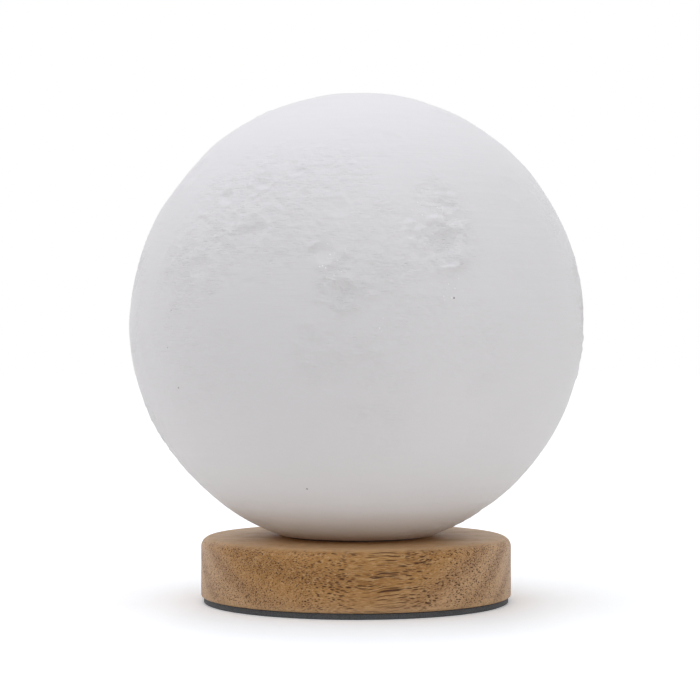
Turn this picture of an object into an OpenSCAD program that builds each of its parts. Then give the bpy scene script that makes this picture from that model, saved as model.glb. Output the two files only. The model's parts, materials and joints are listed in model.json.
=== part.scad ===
// A table lamp in the form of the moon: a thin printed globe that rests on a lit
// spigot, which stands in a turned wooden base with a battery, a board and a button.
// Lengths are in millimetres. The table is at z = 0, the front of the lamp faces -Y,
// and the charging port and the button are at the back.

/* [Globe] */
// Outside diameter of the globe
globe_d = 150; // [140:1:165]
// Wall of the printed globe
globe_wall = 1.6; // [1.2:0.1:2.4]
// Diameter of the flat that the globe stands on
globe_flat_d = 50.6; // [49.4:0.2:54]
// Places for craters that fill the sides and the back, counted over the whole globe
crater_count = 56; // [8:1:70]
// Radius of the widest of these craters
crater_max_r = 6.5; // [3:0.5:8]
// Depth of a crater over its radius
crater_depth_share = 0.085; // [0.05:0.005:0.12]

/* [Base] */
// Diameter of the wooden base
base_d = 102.5; // [100:0.5:112]
// Height of the wood
wood_h = 19.5; // [19:0.5:24]
// Radius of the wood's upper edge
wood_edge_r = 3.2; // [1:0.1:4]
// Thickness of the anti-slip pad
pad_t = 2; // [1.5:0.1:3]
// How far the pad stays back from the edge of the wood
pad_inset = 0.9; // [0.5:0.1:3]

/* [Light] */
// Radius of the spigot that the globe's collar slides over
spigot_r = 18.9; // [18.5:0.1:18.9]
// Height of the spigot above the wood
spigot_h = 11.5; // [10:0.5:14]
// Height of the column under the light above the wood
column_h = 24.5; // [20:0.5:30]
// Number of light-emitting diodes in the ring
led_count = 7; // [4:1:7]

/* [Button] */
// Radius of the button's cap
button_r = 2.9; // [2:0.1:2.9]
// How far the button travels when it is pressed
button_travel = 0.5; // [0.2:0.1:0.6]

/* [Hidden] */
$fn = 96;
overcut = 1; // how far a cutting solid runs past the face that it opens
slip = 0.1; // gap round a piece that moves in a hole
glue = 0.05; // gap round a piece that is glued in a hole, or a thread in its hole
shank_gap = 0.2; // gap round a screw in a hole that it only passes through
sink = 0.1; // how far a standing shape runs into what carries it

// Wooden base, from the table up
base_r = base_d / 2;
wood_z = pad_t;
wood_top_z = wood_z + wood_h;
wood_foot_r = 0.6;
pad_r = base_r - pad_inset;
pad_top_edge_r = 0.3;
pad_foot_edge_r = 0.3;
cover_t = 2;
cover_z = wood_z;
cover_top_z = cover_z + cover_t;
rebate_r = 45;
cover_r = rebate_r - 0.2;
cavity_r = 38;
cavity_roof_t = 6;
cavity_top_z = wood_top_z - cavity_roof_t;
bore_r = 19;

// Cover screws
cover_screw_n = 4;
cover_screw_orbit = 41.5;
cover_screw_r = 1.4;
cover_screw_l = 10;
cover_head_r = 2.8;
cover_head_h = 1.5;

// Light holder: the spigot, the column and the flange under the roof of the cavity
flange_r = 24;
flange_t = 2;
flange_z = cavity_top_z - flange_t;
holder_wall = 2;
spigot_top_z = wood_top_z + spigot_h;
column_r = 15.9;
column_bore_r = 13.4;
column_top_z = wood_top_z + column_h;
deck_t = 2.5;
rim_h = 2;
rim_r = 14.6;
dome_wall = 1.2;
holder_screw_n = 3;
holder_screw_orbit = 21.5;
holder_screw_r = 1.2;
holder_screw_l = 6;
holder_head_r = 2.3;
holder_head_h = 1.4;

// Light board
led_board_r = 13.6;
led_board_t = 1.2;
led_top_z = column_top_z + led_board_t;
led_orbit = 10;
led_side = 5;
led_h = 1.6;
led_window_r = 1.9;
led_window_t = 0.15;
led_screw_x = 5.2;
led_screw_r = 0.9;
led_head_r = 1.7;
led_head_h = 1.1;
lead_slot_w = 5.6;
lead_slot_y = 11;
lead_slot_l = 1.9;

// Seat ring and globe
seat_t = 0.6;
seat_in_r = 19.5;
seat_out_r = 23;
globe_r = globe_d / 2;
globe_foot_z = wood_top_z + seat_t;
globe_mid_z = globe_foot_z + sqrt(pow(globe_r, 2) - pow(globe_flat_d / 2, 2));
collar_bore_r = 19.2;
collar_r = 21;
collar_h = 9.9;
collar_flange_r = 23.2;
collar_flange_t = 1.2;
mouth_ring_r = 28;
mouth_ring_h = 4.9;

// Craters at the front of the globe, each as its turn to the right, its height
// angle and its radius
front_craters = [
    [21, 17, 6.9], [-3, 5.4, 4.2], [4, 3.5, 2.2], [24.5, 27.5, 3.2], [-8, 15, 4],
    [-27, 20, 5.6], [-38, 30, 3.4], [-27, 34, 3.6], [-18, 37, 3], [-11, 32, 3],
    [-5, 26, 3.4], [-41, 12, 4.4], [-53, 15, 3.6], [-4, -13, 7.2], [-12, -4, 4],
    [2, -10, 2.2], [5, -24.5, 3.8], [29, -1, 3], [41, 9, 3.6], [-50, -17, 2.4],
    [33, -28, 4.6], [-26, -34, 5], [12, 47, 4.2], [50, 33, 5]
];
front_cos = 0.56; // the front is where a direction and -Y have a cosine above this
golden_angle = 137.508;
crater_jitter = 14; // how far a crater may stray along its ring, in degrees, end to end
crater_min_r = 2;
crater_low_z = -0.8; // no crater stands lower than this share of the radius
crater_high_z = 0.985;

// Port at the back
port_z = 9.9;
slot_w = 28.3;
slot_h = 9.1;
slot_corner_r = 2.5;
slot_start_y = 25;
plate_w = 28;
plate_h = 8.8;
plate_r = base_r - 0.3;
plate_in_y = base_r - 4.45;
leg_t = 1.2;
leg_l = 5;
leg_h = 4;

// Control board
board_t = 1.2;
socket_h = 3.26;
board_top_z = port_z - socket_h / 2;
board_z = board_top_z - board_t;
board_w = 40;
board_front_y = 10;
board_back_y = 31;
tongue_w = 24;
tongue_back_y = plate_in_y - 0.2;
tongue_notch_x = 2.5;
tongue_notch_y = plate_in_y - 2;
board_hole_x = 17;
board_hole_ys = [13.5, 27.5];
board_screw_r = 0.9;
board_head_r = 1.8;
board_head_h = 1.2;
board_screw_l = 3.6;
standoff_r = 2.3;

// Charging socket
socket_x = -6;
socket_w = 8.94;
socket_l = 7.3;
socket_wall = 0.3;
socket_gap = 0.18; // gap round the socket in its plate
socket_mouth_y = sqrt(pow(plate_r, 2) - pow(socket_x, 2)) - 0.6;
socket_back_y = socket_mouth_y - socket_l;
tongue_t = 0.7;
tongue_blade_w = 6.7;
tongue_blade_l = 4.6;
tongue_block_l = 1.4;

// Button, switch and charge light
button_x = 7;
button_bore_r = button_r + slip;
button_proud = 1.15;
button_rim_w = 0.5;
button_flange_r = button_r + button_rim_w;
button_flange_t = 1;
button_back_y = plate_in_y - 0.05 - button_flange_t;
button_face_y = sqrt(pow(plate_r, 2) - pow(button_x, 2)) + button_proud;
button_chamfer = 0.4;
switch_w = 6;
switch_l = 4;
switch_face_y = button_back_y - 1.35;
plunger_r = 1.2;
plunger_in = 1.2;
pipe_x = 1.2;
pipe_r = 0.75;
pipe_back_y = plate_in_y - 0.7;
charge_led_size = [2, 1.3, 3];

// Battery
battery_size = [50, 30, 5.8];
battery_mid = [0, -11];
battery_corner_r = 2.4;
tape_t = 0.6;
tape_size = [40, 22];
battery_z = cover_top_z + tape_t;
battery_gap = 0.2;
guard_size = [3.2, 26, 4.2];
rib_t = 1.2;
rib_h = 4;
side_rib_l = 30;
end_rib_l = 20;

// Connectors
header_wall = 0.6;
header_floor_t = 0.8;
light_plug_mid = [-6, 13.2];
light_header_size = [8, 4.5, 3.4];
light_plug_size = [6.8, 3.4, 1.4];
light_pin_pitch = 2;
cell_plug_mid = [10, 14.2];
cell_header_size = [6, 4.2, 4.4];
cell_plug_l = 2.6;
cell_pin_pitch = 2;

// Leads, as the points that each runs through
lead_d = 1.1;
lead_sides = 8;
lead_steps = 5; // rings between one point and the next
light_lead_pitch = 1.7;
light_lead_top_z = led_top_z + lead_d / 2 + 0.05;
light_plug_top_z = board_top_z + light_header_size[2] + light_plug_size[2];
cell_lead_z = 10.5;
cell_lead_y = cell_plug_mid[1] - cell_header_size[1] / 2 - cell_plug_l;
guard_back_y = battery_mid[1] + guard_size[1] / 2;

// ---- Helpers ----

// What a rounded corner takes off a square one, in the corner's own quadrant
module corner_waste(r) {
    difference() {
        square(r + overcut);
        circle(r);
    }
}

// A disc with rounded upper and lower rims
module rounded_disc(r, h, top_r, foot_r) {
    rotate_extrude() difference() {
        square([r, h]);
        translate([r - top_r, h - top_r]) corner_waste(top_r);
        translate([r - foot_r, foot_r]) mirror([0, 1]) corner_waste(foot_r);
    }
}

// A rectangle with round corners, centred
module round_rect(w, h, r) {
    square([w - 2 * r, h], center = true);
    square([w, h - 2 * r], center = true);
    for (x = [-1, 1], y = [-1, 1])
        translate([x * (w / 2 - r), y * (h / 2 - r)]) circle(r);
}

// A bar with the outline of its child, from y0 to y1, at x and z
module along_y(x, y0, y1, z) {
    translate([x, y1, z]) rotate([90, 0, 0]) linear_extrude(y1 - y0) children();
}

// A tube, as the difference of two cylinders on one axis
module ring(out_r, in_r, h) {
    difference() {
        cylinder(r = out_r, h = h);
        translate([0, 0, -overcut]) cylinder(r = in_r, h = h + 2 * overcut);
    }
}

// Copies of a child at even angles on a circle
module around(n, orbit, first = 0) {
    for (i = [0 : n - 1])
        rotate(first + i * 360 / n) translate([orbit, 0, 0]) children();
}

// A box that stands on z, centred on x and y
module block(mid, size, z) {
    translate([mid[0] - size[0] / 2, mid[1] - size[1] / 2, z]) cube(size);
}

// The cross in a screw head
module cross_slot(r, depth) {
    arm_l = 1.24 * r;
    arm_w = 0.28 * r;
    for (a = [0, 90])
        rotate(a) translate([-arm_l / 2, -arm_w / 2, -overcut])
            cube([arm_l, arm_w, depth + overcut]);
}

// A screw with a flat-topped round head: the head's face is at z = 0, and it points up
module pan_screw(head_r, head_h, shank_r, shank_l) {
    difference() {
        union() {
            cylinder(r = head_r, h = head_h);
            translate([0, 0, head_h - sink]) cylinder(r = shank_r, h = shank_l + sink);
        }
        cross_slot(head_r, head_h * 0.6);
    }
}

// A point between p1 and p2 on the smooth curve through four points
function spline(p0, p1, p2, p3, t) =
    0.5 * (2 * p1 + (p2 - p0) * t + (2 * p0 - 5 * p1 + 4 * p2 - p3) * t * t
        + (3 * p1 - p0 - 3 * p2 + p3) * t * t * t);

// The smooth curve through a list of points
function smooth_path(p, steps) = let (n = len(p)) concat(
    [for (i = [0 : n - 2], s = [0 : steps - 1])
        spline(p[max(i - 1, 0)], p[i], p[i + 1], p[min(i + 2, n - 1)], s / steps)],
    [p[n - 1]]);

function unit(v) = v / norm(v);
function heading(p, i) = unit(p[min(i + 1, len(p) - 1)] - p[max(i - 1, 0)]);
function square_to(v, t) = unit(v - (v * t) * t);

// Side directions along a path, each turned as little as possible from the last
function sides_of(p, first) = [
    for (i = 0, s = square_to(first, heading(p, 0)); i < len(p);
        i = i + 1, s = i < len(p) ? square_to(s, heading(p, i)) : s) s];

// A round lead along a path of points
module lead(points, d = lead_d, first = [1, 0, 0]) {
    p = smooth_path(points, lead_steps);
    side = sides_of(p, first);
    n = lead_sides;
    last = len(p) - 1;
    rings = [for (i = [0 : last], k = [0 : n - 1])
        let (t = heading(p, i), up = cross(t, side[i]), a = 360 * k / n)
        p[i] + d / 2 * (cos(a) * side[i] + sin(a) * up)];
    walls = [for (i = [0 : last - 1], k = [0 : n - 1])
        let (j = (k + 1) % n)
        [i * n + k, (i + 1) * n + k, (i + 1) * n + j, i * n + j]];
    start_cap = [[for (k = [0 : n - 1]) k]];
    end_cap = [[for (k = [n - 1 : -1 : 0]) last * n + k]];
    polyhedron(points = rings, faces = concat(walls, start_cap, end_cap));
}

// ---- Globe ----

// A number from 0 to 1 that looks random and depends only on i and k
function scatter(i, k) = let (v = sin(i * 127.1 + k * 311.7) * 4375.8) v - floor(v);

// The other craters stand near the points of a spiral that covers the globe evenly
function spiral_crater(i) = [
    (i * golden_angle + crater_jitter * (scatter(i, 1) - 0.5)) % 360,
    asin(1 - 2 * (i + 0.5) / crater_count),
    crater_min_r + (crater_max_r - crater_min_r) * pow(scatter(i, 2), 2)
];
function is_in_front(c) = cos(c[0]) * cos(c[1]) > front_cos;
function is_on_shell(c) = sin(c[1]) > crater_low_z && sin(c[1]) < crater_high_z;
function all_craters() = concat(front_craters,
    [for (i = [0 : crater_count - 1]) let (c = spiral_crater(i))
        if (!is_in_front(c) && is_on_shell(c)) c]);

// The ball that presses a crater into the globe. It is larger than the crater, so
// that the floor is a shallow dish.
module crater_ball(c) {
    r = c[2];
    depth = crater_depth_share * r;
    ball_r = 1 / (2 * depth / pow(r, 2) - 1 / globe_r);
    rotate([0, -c[1], c[0] - 90]) translate([globe_r + ball_r - depth, 0, 0]) sphere(ball_r);
}

module moon_globe() {
    color("whitesmoke") difference() {
        translate([0, 0, globe_mid_z]) sphere(globe_r);
        difference() {
            translate([0, 0, globe_mid_z]) sphere(globe_r - globe_wall);
            translate([0, 0, globe_foot_z - overcut])
                cylinder(r = mouth_ring_r, h = mouth_ring_h + overcut);
        }
        translate([-globe_r, -globe_r, globe_foot_z - globe_r])
            cube([globe_d, globe_d, globe_r]);
        translate([0, 0, globe_foot_z - overcut])
            cylinder(r = collar_r + glue, h = mouth_ring_h + 2 * overcut);
        translate([0, 0, globe_foot_z - overcut])
            cylinder(r = collar_flange_r + glue, h = collar_flange_t + overcut);
        translate([0, 0, globe_mid_z]) for (c = all_craters()) crater_ball(c);
    }
}

module globe_collar() {
    color("white") translate([0, 0, globe_foot_z]) rotate_extrude() difference() {
        union() {
            square([collar_r, collar_h]);
            square([collar_flange_r, collar_flange_t]);
        }
        translate([-overcut, -overcut])
            square([collar_bore_r + overcut, collar_h + 2 * overcut]);
    }
}

module seat_ring() {
    color("dimgray") translate([0, 0, wood_top_z]) ring(seat_out_r, seat_in_r, seat_t);
}

// ---- Base ----

module wood_base() {
    color("burlywood") difference() {
        translate([0, 0, wood_z])
            rounded_disc(base_r, wood_h, wood_edge_r, wood_foot_r);
        translate([0, 0, wood_z - overcut])
            cylinder(r = cavity_r, h = cavity_top_z - wood_z + overcut);
        translate([0, 0, wood_z - overcut]) cylinder(r = rebate_r, h = cover_t + overcut);
        cylinder(r = bore_r, h = wood_top_z + overcut);
        along_y(0, slot_start_y, base_r + overcut, port_z)
            round_rect(slot_w, slot_h, slot_corner_r);
        around(cover_screw_n, cover_screw_orbit, 45)
            cylinder(r = cover_screw_r + glue, h = cover_z + cover_screw_l + overcut);
        around(holder_screw_n, holder_screw_orbit, 30)
            cylinder(r = holder_screw_r + glue, h = cavity_top_z + holder_screw_l - overcut);
    }
}

module anti_slip_pad() {
    color("darkslategray") rounded_disc(pad_r, pad_t, pad_top_edge_r, pad_foot_edge_r);
}

module bottom_cover() {
    battery_edge_x = battery_size[0] / 2 + battery_gap;
    battery_edge_y = battery_size[1] / 2 + battery_gap;
    color("dimgray") difference() {
        union() {
            translate([0, 0, cover_z]) cylinder(r = cover_r, h = cover_t);
            for (x = [-1, 1], y = board_hole_ys)
                translate([x * board_hole_x, y, cover_top_z - sink])
                    cylinder(r = standoff_r, h = board_z - cover_top_z + sink);
            for (side = [-1, 1])
                block([0, battery_mid[1] + side * (battery_edge_y + rib_t / 2)],
                    [side_rib_l, rib_t, rib_h + sink], cover_top_z - sink);
            block([-battery_edge_x - rib_t / 2, battery_mid[1]],
                [rib_t, end_rib_l, rib_h + sink], cover_top_z - sink);
        }
        around(cover_screw_n, cover_screw_orbit, 45) {
            cylinder(r = cover_screw_r + shank_gap, h = cover_top_z + overcut);
            translate([0, 0, cover_z])
                cylinder(r1 = cover_head_r + slip, r2 = cover_screw_r + slip, h = cover_head_h + slip);
        }
        for (x = [-1, 1], y = board_hole_ys)
            translate([x * board_hole_x, y, board_z - board_screw_l])
                cylinder(r = board_screw_r + glue, h = board_screw_l + overcut);
    }
}

module cover_screws() {
    color("silver") around(cover_screw_n, cover_screw_orbit, 45) translate([0, 0, cover_z])
        difference() {
            union() {
                cylinder(r1 = cover_head_r, r2 = cover_screw_r, h = cover_head_h);
                cylinder(r = cover_screw_r, h = cover_screw_l);
            }
            cross_slot(cover_head_r, 0.8);
        }
}

// ---- Light ----

module lamp_holder() {
    shoulder = 0.8;
    color("white") difference() {
        rotate_extrude() polygon([
            [spigot_r - holder_wall, flange_z], [flange_r, flange_z],
            [flange_r, cavity_top_z], [spigot_r, cavity_top_z],
            [spigot_r, spigot_top_z - shoulder], [spigot_r - shoulder, spigot_top_z],
            [column_r, spigot_top_z], [column_r, column_top_z - rim_h],
            [rim_r, column_top_z - rim_h], [rim_r, column_top_z], [0, column_top_z],
            [0, column_top_z - deck_t], [column_bore_r, column_top_z - deck_t],
            [column_bore_r, spigot_top_z - holder_wall],
            [spigot_r - holder_wall, spigot_top_z - holder_wall]
        ]);
        around(holder_screw_n, holder_screw_orbit, 30)
            translate([0, 0, flange_z - overcut])
                cylinder(r = holder_screw_r + shank_gap, h = flange_t + 2 * overcut);
        for (x = [-1, 1])
            translate([x * led_screw_x, 0, column_top_z - deck_t - overcut])
                cylinder(r = led_screw_r + glue, h = deck_t + 2 * overcut);
        translate([-lead_slot_w / 2, lead_slot_y, column_top_z - deck_t - overcut])
            cube([lead_slot_w, lead_slot_l, deck_t + 2 * overcut]);
    }
}

module holder_screws() {
    color("silver") around(holder_screw_n, holder_screw_orbit, 30)
        translate([0, 0, flange_z - holder_head_h])
            pan_screw(holder_head_r, holder_head_h, holder_screw_r, holder_screw_l);
}

module led_board() {
    color("snow") difference() {
        translate([0, 0, column_top_z]) cylinder(r = led_board_r, h = led_board_t);
        for (x = [-1, 1])
            translate([x * led_screw_x, 0, column_top_z - overcut])
                cylinder(r = led_screw_r + shank_gap, h = led_board_t + 2 * overcut);
        translate([-lead_slot_w / 2, lead_slot_y - 0.4, column_top_z - overcut])
            cube([lead_slot_w, led_board_r, led_board_t + 2 * overcut]);
    }
}

// Places of the lights: a ring that is open where the leads come up, and one in the middle
module each_led() {
    step = 360 / (led_count + 1);
    for (i = [1 : led_count])
        rotate(90 + i * step) translate([led_orbit, 0, led_top_z]) children();
    translate([0, 0, led_top_z]) children();
}

module led_packages() {
    color("ivory") each_led() difference() {
        translate([-led_side / 2, -led_side / 2, 0]) cube([led_side, led_side, led_h]);
        translate([0, 0, led_h - led_window_t])
            cylinder(r = led_window_r + 0.02, h = led_window_t + overcut);
    }
}

module led_phosphor() {
    color("gold") each_led() translate([0, 0, led_h - led_window_t])
        cylinder(r = led_window_r, h = led_window_t);
}

module led_board_screws() {
    color("silver") for (x = [-1, 1])
        translate([x * led_screw_x, 0, led_top_z + led_head_h]) rotate([180, 0, 0])
            pan_screw(led_head_r, led_head_h, led_screw_r, led_board_t + deck_t);
}

module diffuser_dome() {
    foot_z = column_top_z - rim_h;
    straight_h = rim_h + 1;
    color("floralwhite") translate([0, 0, foot_z]) rotate_extrude() difference() {
        union() {
            square([column_r, straight_h]);
            intersection() {
                translate([0, straight_h]) circle(column_r);
                translate([0, straight_h]) square(column_r);
            }
        }
        translate([-overcut, -overcut])
            square([column_r - dome_wall + overcut, straight_h + overcut]);
        intersection() {
            translate([0, straight_h]) circle(column_r - dome_wall);
            translate([-overcut, straight_h - overcut]) square(column_r + overcut);
        }
    }
}

// The leads of the light come up through the slot and bend over onto the board
module light_lead(k) {
    top_x = k * light_lead_pitch;
    plug_x = light_plug_mid[0] + k * light_pin_pitch;
    plug_y = light_plug_mid[1];
    slot_y = lead_slot_y + lead_slot_l / 2;
    lead([
        [top_x, 8.6, light_lead_top_z],
        [top_x, 9.8, light_lead_top_z + 0.1],
        [top_x, 11.1, light_lead_top_z],
        [top_x, slot_y, light_lead_top_z - 0.9],
        [top_x, slot_y, light_lead_top_z - 2.6],
        [top_x, slot_y, 42],
        [top_x, 11.2, 34],
        [(top_x + plug_x) / 2, 11, 24],
        [plug_x, plug_y - 0.4, 17],
        [plug_x, plug_y, light_plug_top_z + 2 * lead_d],
        [plug_x, plug_y, light_plug_top_z + lead_d],
        [plug_x, plug_y, light_plug_top_z]
    ]);
}

module light_lead_red() { color("firebrick") light_lead(-1); }
module light_lead_white() { color("white") light_lead(0); }
module light_lead_black() { color("black") light_lead(1); }

// ---- Control board ----

module board_outline() {
    difference() {
        union() {
            translate([-board_w / 2, board_front_y])
                square([board_w, board_back_y - board_front_y]);
            translate([-tongue_w / 2, board_back_y - overcut])
                square([tongue_w, tongue_back_y - board_back_y + overcut]);
        }
        translate([tongue_notch_x, tongue_notch_y]) square(tongue_w);
        for (x = [-1, 1], y = board_hole_ys)
            translate([x * board_hole_x, y]) circle(board_screw_r + shank_gap);
    }
}

module control_board() {
    color("darkgreen") translate([0, 0, board_z]) linear_extrude(board_t) board_outline();
}

module board_screws() {
    color("silver") for (x = [-1, 1], y = board_hole_ys)
        translate([x * board_hole_x, y, board_top_z + board_head_h]) rotate([180, 0, 0])
            pan_screw(board_head_r, board_head_h, board_screw_r, board_screw_l);
}

// A chip with rows of legs on its two long sides
module chip(mid, size, legs) {
    pitch = 1.27;
    leg = [0.4, 1, 0.6];
    lift = 0.1;
    block(mid, [size[0], size[1], size[2] - lift], board_top_z + lift);
    for (side = [-1, 1], k = [0 : legs - 1])
        block([mid[0] + (k - (legs - 1) / 2) * pitch, mid[1] + side * (size[1] + leg[1]) / 2],
            leg, board_top_z);
}

module board_chips() {
    color("darkslategray") {
        chip([-9, 22], [8.7, 3.9, 1.6], 7);
        chip([9.6, 22.4], [4.9, 3.9, 1.6], 4);
        chip([-3, 33.6], [3, 1.6, 1.1], 2);
    }
}

// Resistors and capacitors stand in two rows
module board_passives() {
    small = [1.6, 0.8, 0.6];
    large = [2, 3.2, 1.6];
    color("tan") {
        for (k = [0 : 6]) block([-12 + k * 3, 28.6], small, board_top_z);
        for (k = [0 : 3]) block([-11 + k * 3, 17.4], small, board_top_z);
        block([13.6, 28.4], large, board_top_z);
        block([-9, 36], large, board_top_z);
        block([8.6, 36], large, board_top_z);
    }
}

// A drum between two square ends
module power_inductor() {
    mid = [1, 22.5];
    side = 6;
    corner_r = 0.8;
    end_t = 0.6;
    height = 3;
    color("gray") translate([mid[0], mid[1], board_top_z]) {
        for (z = [0, height - end_t])
            translate([0, 0, z]) linear_extrude(end_t) round_rect(side, side, corner_r);
        cylinder(r = 0.45 * side, h = height - sink);
    }
}

module light_connector() {
    pocket = [
        light_header_size[0] - 2 * header_wall,
        light_header_size[1] - 2 * header_wall,
        light_header_size[2]
    ];
    color("ivory") difference() {
        block(light_plug_mid, light_header_size, board_top_z);
        block(light_plug_mid, pocket, board_top_z + header_floor_t);
    }
}

// The plug fills the header's pocket and has a window for each contact at its back
module light_plug() {
    floor_z = board_top_z + header_floor_t;
    window = [0.8, 2, 2];
    color("white") difference() {
        block(light_plug_mid,
            [light_plug_size[0] - slip, light_plug_size[1] - 2 * slip, light_plug_top_z - floor_z],
            floor_z);
        for (k = [-1 : 1])
            block([light_plug_mid[0] + k * light_pin_pitch, light_plug_mid[1] + window[1]],
                window, floor_z + 1);
    }
}

module cell_connector() {
    color("ivory") difference() {
        block(cell_plug_mid, cell_header_size, board_top_z);
        translate([cell_plug_mid[0] - cell_header_size[0] / 2 + header_wall,
            cell_plug_mid[1] - cell_header_size[1] / 2 - overcut, board_top_z + header_wall])
            cube([cell_header_size[0] - 2 * header_wall,
                cell_header_size[1] - header_wall + overcut,
                cell_header_size[2] - 2 * header_wall]);
    }
}

module cell_plug() {
    gap = header_wall + glue;
    inside_y = cell_plug_mid[1] + cell_header_size[1] / 2 - gap;
    color("white") translate([cell_plug_mid[0] - cell_header_size[0] / 2 + gap, cell_lead_y,
        board_top_z + gap])
        cube([cell_header_size[0] - 2 * gap, inside_y - cell_lead_y,
            cell_header_size[2] - 2 * gap]);
}

// ---- Charging socket, button and light at the back ----

module usb_socket() {
    in_w = socket_w - 2 * socket_wall;
    in_h = socket_h - 2 * socket_wall;
    color("silver") difference() {
        along_y(socket_x, socket_back_y, socket_mouth_y, port_z)
            round_rect(socket_w, socket_h, socket_h / 2 - 0.05);
        along_y(socket_x, socket_back_y - overcut, socket_mouth_y + overcut, port_z)
            round_rect(in_w, in_h, in_h / 2 - 0.05);
    }
}

module usb_tongue() {
    block_w = socket_w - 2 * socket_wall - 0.1;
    block_h = socket_h - 2 * socket_wall - 0.1;
    block_y = socket_back_y + tongue_block_l;
    color("black") {
        along_y(socket_x, socket_back_y, block_y, port_z)
            round_rect(block_w, block_h, block_h / 2 - 0.05);
        translate([socket_x - tongue_blade_w / 2, block_y - 0.1, port_z - tongue_t / 2])
            cube([tongue_blade_w, tongue_blade_l + 0.1, tongue_t]);
    }
}

module port_plate() {
    hole_w = socket_w + 2 * socket_gap;
    hole_h = socket_h + 2 * socket_gap;
    leg_x = plate_w / 2 - leg_t;
    color("darkslategray") difference() {
        union() {
            intersection() {
                translate([0, 0, port_z - plate_h / 2]) cylinder(r = plate_r, h = plate_h);
                along_y(0, plate_in_y, base_r, port_z)
                    round_rect(plate_w, plate_h, slot_corner_r - 0.15);
            }
            for (side = [-1, 1])
                translate([side * (leg_x + leg_t / 2) - leg_t / 2, plate_in_y - leg_l,
                    port_z - leg_h / 2])
                    cube([leg_t, leg_l + 0.5, leg_h]);
        }
        along_y(socket_x, plate_in_y - overcut, base_r + overcut, port_z)
            round_rect(hole_w, hole_h, hole_h / 2 - 0.05);
        translate([button_x, base_r + overcut, port_z]) rotate([90, 0, 0])
            cylinder(r = button_bore_r, h = base_r - plate_in_y + 2 * overcut);
        translate([pipe_x, base_r + overcut, port_z]) rotate([90, 0, 0])
            cylinder(r = pipe_r + glue, h = base_r - plate_in_y + 2 * overcut);
    }
}

module power_button() {
    cap_l = button_face_y - button_back_y;
    color("dimgray") translate([button_x, button_back_y, port_z]) rotate([-90, 0, 0])
        rotate_extrude() polygon([
            [0, 0], [button_flange_r, 0], [button_flange_r, button_flange_t],
            [button_r, button_flange_t], [button_r, cap_l - button_chamfer],
            [button_r - button_chamfer, cap_l], [0, cap_l]
        ]);
}

module tact_switch() {
    depth = plunger_in + button_travel + 0.4;
    color("dimgray") difference() {
        translate([button_x - switch_w / 2, switch_face_y - switch_l, board_top_z])
            cube([switch_w, switch_l, socket_h]);
        translate([button_x, switch_face_y + overcut, port_z]) rotate([90, 0, 0])
            cylinder(r = plunger_r + slip, h = depth + overcut);
    }
}

module switch_plunger() {
    color("ivory") translate([button_x, button_back_y, port_z]) rotate([90, 0, 0])
        cylinder(r = plunger_r, h = button_back_y - switch_face_y + plunger_in);
}

module charge_light() {
    color("honeydew") block([pipe_x, pipe_back_y - 0.1 - charge_led_size[1] / 2],
        charge_led_size, board_top_z);
}

module light_pipe() {
    face_y = sqrt(pow(plate_r, 2) - pow(pipe_x, 2)) - 0.1;
    color("aliceblue") translate([pipe_x, face_y, port_z]) rotate([90, 0, 0])
        cylinder(r = pipe_r, h = face_y - pipe_back_y);
}

// ---- Battery ----

module battery_cell() {
    color("silver") translate([battery_mid[0], battery_mid[1], battery_z])
        rotate([90, 0, 90]) translate([0, 0, -battery_size[0] / 2])
            linear_extrude(battery_size[0]) translate([0, battery_size[2] / 2])
                round_rect(battery_size[1], battery_size[2], battery_corner_r);
}

module battery_tape() {
    color("lightgray") block(battery_mid, [tape_size[0], tape_size[1], tape_t], cover_top_z);
}

// The protection board folds against one end of the cell, under amber tape
module cell_guard_board() {
    color("goldenrod") block(
        [battery_mid[0] + (battery_size[0] + guard_size[0]) / 2, battery_mid[1]],
        guard_size, battery_z + (battery_size[2] - guard_size[2]) / 2);
}

module cell_lead(k) {
    start_x = battery_mid[0] + (battery_size[0] + guard_size[0]) / 2;
    start_z = battery_z + battery_size[2] / 2 - k * 0.8;
    plug_x = cell_plug_mid[0] + k * cell_pin_pitch / 2;
    lead([
        [start_x, guard_back_y, start_z],
        [start_x, guard_back_y + lead_d, start_z],
        [start_x, guard_back_y + 2 * lead_d, start_z],
        [start_x - 1.8 - k * 0.8, guard_back_y + 4, start_z + 0.8],
        [start_x - 6, 6.6 + k * 0.8, start_z + 1.6 - k * 0.4],
        [start_x - 11, 5.6 + k * 0.8, cell_lead_z + 0.2],
        [plug_x + 1.9 + k, 5.6 + k * 0.6, cell_lead_z + 0.1],
        [plug_x, cell_lead_y - 2 * lead_d, cell_lead_z],
        [plug_x, cell_lead_y - lead_d, cell_lead_z],
        [plug_x, cell_lead_y, cell_lead_z]
    ], first = [0, 0, 1]);
}

module cell_lead_red() { color("firebrick") cell_lead(1); }
module cell_lead_black() { color("black") cell_lead(-1); }

moon_globe();
globe_collar();
seat_ring();
wood_base();
anti_slip_pad();
bottom_cover();
cover_screws();
lamp_holder();
holder_screws();
led_board();
led_packages();
led_phosphor();
led_board_screws();
diffuser_dome();
light_lead_red();
light_lead_white();
light_lead_black();
light_connector();
light_plug();
control_board();
board_screws();
board_chips();
board_passives();
power_inductor();
usb_socket();
usb_tongue();
port_plate();
power_button();
tact_switch();
switch_plunger();
charge_light();
light_pipe();
battery_cell();
cell_guard_board();
battery_tape();
cell_connector();
cell_plug();
cell_lead_red();
cell_lead_black();
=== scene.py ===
"""Moon lamp: the relief of its printed globe, its finishes and a plain studio.

The packed model is loaded first and stays where it is. Relief sizes are in millimetres,
as on a maker's drawing, and are turned into metres when a mesh is written.
"""

import json
import math

import bmesh
import bpy
import numpy as np
from bpy.props import FloatProperty, FloatVectorProperty, IntProperty, PointerProperty
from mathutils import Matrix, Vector, noise


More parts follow.
